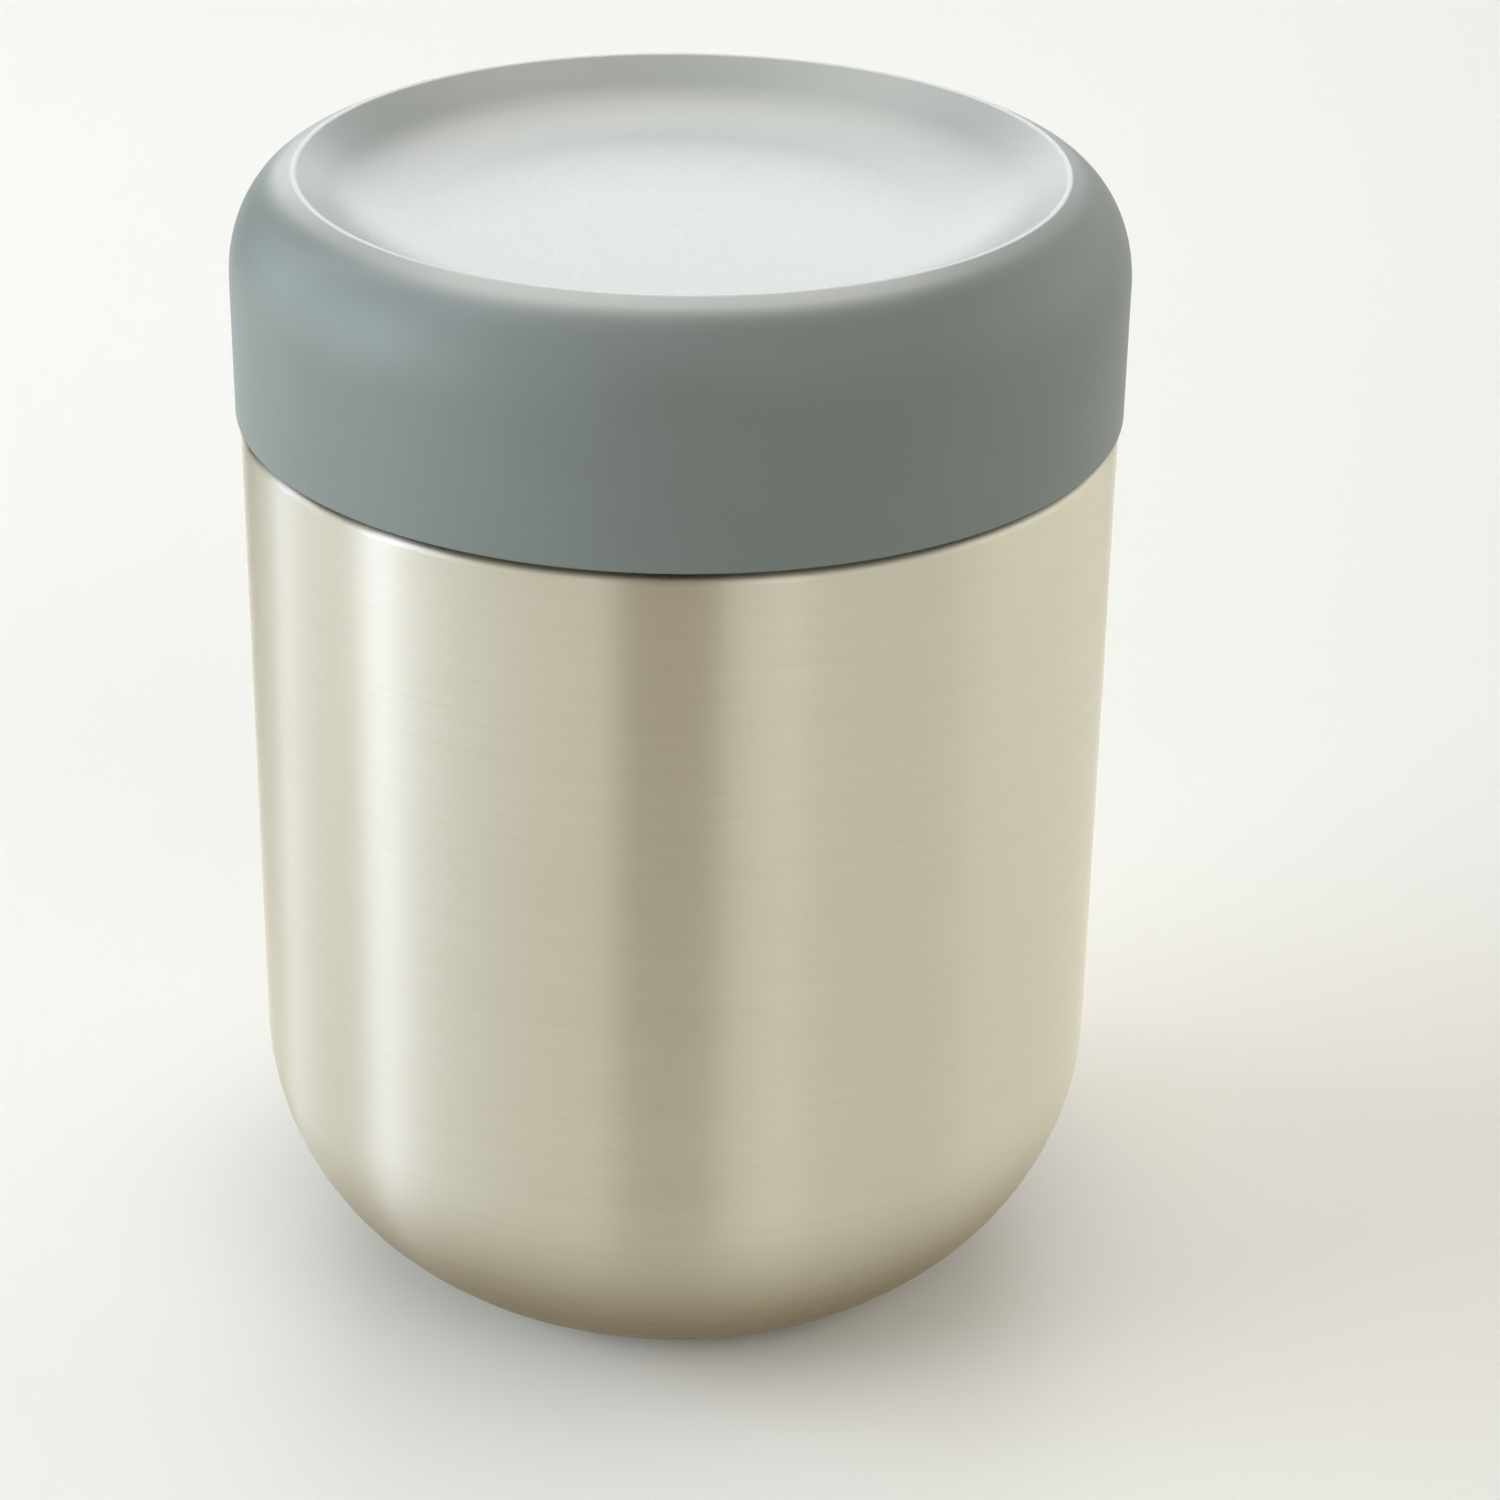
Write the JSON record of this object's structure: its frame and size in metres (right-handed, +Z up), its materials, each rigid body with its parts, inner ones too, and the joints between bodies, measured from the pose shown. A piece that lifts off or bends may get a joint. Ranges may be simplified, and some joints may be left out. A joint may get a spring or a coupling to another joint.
{
  "type": "insulated food jar",
  "caption": "Round double-walled steel food jar with a softly curved base and a dished plastic lid that screws onto the neck and seals with a silicone ring.",
  "frame": {"origin": "centre of the ring that the jar stands on, in the plane of the table", "axes": "+Z up along the jar's axis, towards the lid; X and Y are free, because the outside is round"},
  "size_m": [0.096, 0.096, 0.1306],
  "materials": {
    "outer_steel": "satin, brushed round the axis",
    "liner_steel": "fine satin, electropolished",
    "solder_glass": "fused bead",
    "copper_foil": "bright foil",
    "getter_alloy": "pressed powder",
    "lid_plastic": "matte, soft to the touch",
    "insert_plastic": "plain moulded",
    "foam": "expanded bead",
    "silicone": "translucent silicone"
  },
  "bodies": {
    "vessel": {"outer_shell": "outer_steel", "outer_base": "outer_steel", "base_cover": "outer_steel", "vacuum_seal": "solder_glass", "inner_liner": "liner_steel", "foil_wrap": "copper_foil", "getter": "getter_alloy", "getter_clip": "liner_steel"},
    "gasket": {"lid_gasket": "silicone"},
    "lid": {"lid_cover": "lid_plastic", "lid_insert": "insert_plastic", "lid_foam": "foam"}
  },
  "joints": [
    {"name": "lid_rise", "type": "slide", "parent": "vessel", "child": "gasket", "axis": [0, 0, 1], "range_m": [0, 0.0241]},
    {"name": "lid_turn", "type": "hinge", "parent": "gasket", "child": "lid", "pos_m": [0, 0, 0.1176], "axis": [0, 0, 1], "range_deg": [0, 720]}
  ],
  "couplings": [
    {"joint": "lid_rise", "follows": "lid_turn", "m_per_rad": 0.0019099}
  ]
}
